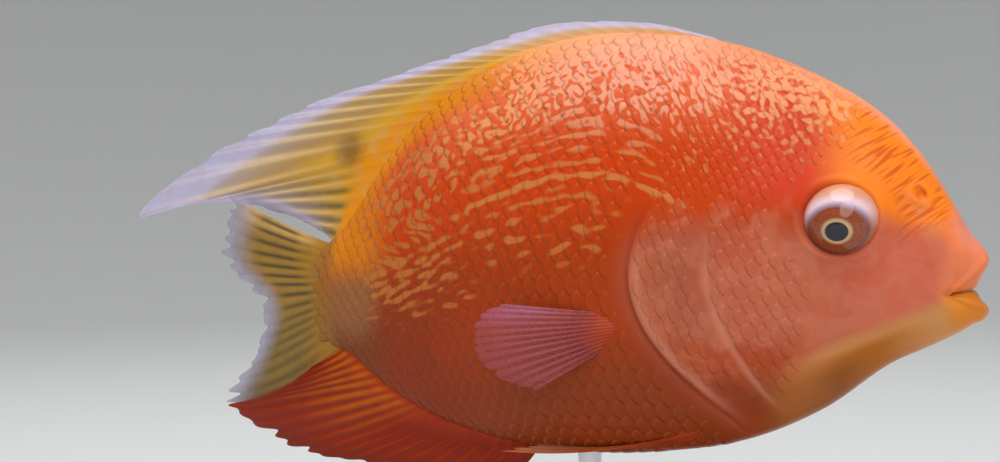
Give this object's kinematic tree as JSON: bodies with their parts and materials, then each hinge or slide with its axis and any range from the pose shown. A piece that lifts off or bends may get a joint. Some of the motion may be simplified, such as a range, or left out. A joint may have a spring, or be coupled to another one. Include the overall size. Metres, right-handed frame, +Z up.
{
  "type": "red severum fish model",
  "caption": "Still, life-size museum model of an adult red severum, a deep-bodied red-orange aquarium fish, on a plain display stand.",
  "frame": {"origin": "centre of the stand base's underside, on the surface that the model stands on", "axes": "+X towards the fish's snout, +Y to the fish's left, +Z up"},
  "size_m": [0.254, 0.07, 0.1472],
  "materials": {
    "skin": "wet scaled fish skin, red-orange with pale worm-like marks",
    "eye": "clear glossy eye with an orange-red and gold ring",
    "fin_gold": "thin rayed fin, gold at the base and pale lavender at the edge",
    "fin_red": "thin rayed fin, orange-red with yellow streaks",
    "fin_pale": "thin clear fin, pinkish",
    "stand_wood": "dark satin wood",
    "stand_steel": "brushed"
  },
  "bodies": {
    "root": {"head": "skin", "trunk": "skin", "tail_stalk": "skin", "gill_cover_right": "skin", "gill_cover_left": "skin", "eye_right": "eye", "eye_left": "eye", "fin_dorsal": "fin_gold", "fin_caudal": "fin_gold", "fin_anal": "fin_red", "fin_pectoral_right": "fin_pale", "fin_pectoral_left": "fin_pale", "fin_pelvic_right": "fin_red", "fin_pelvic_left": "fin_red", "stand_base": "stand_wood", "stand_rod": "stand_steel"}
  },
  "joints": []
}
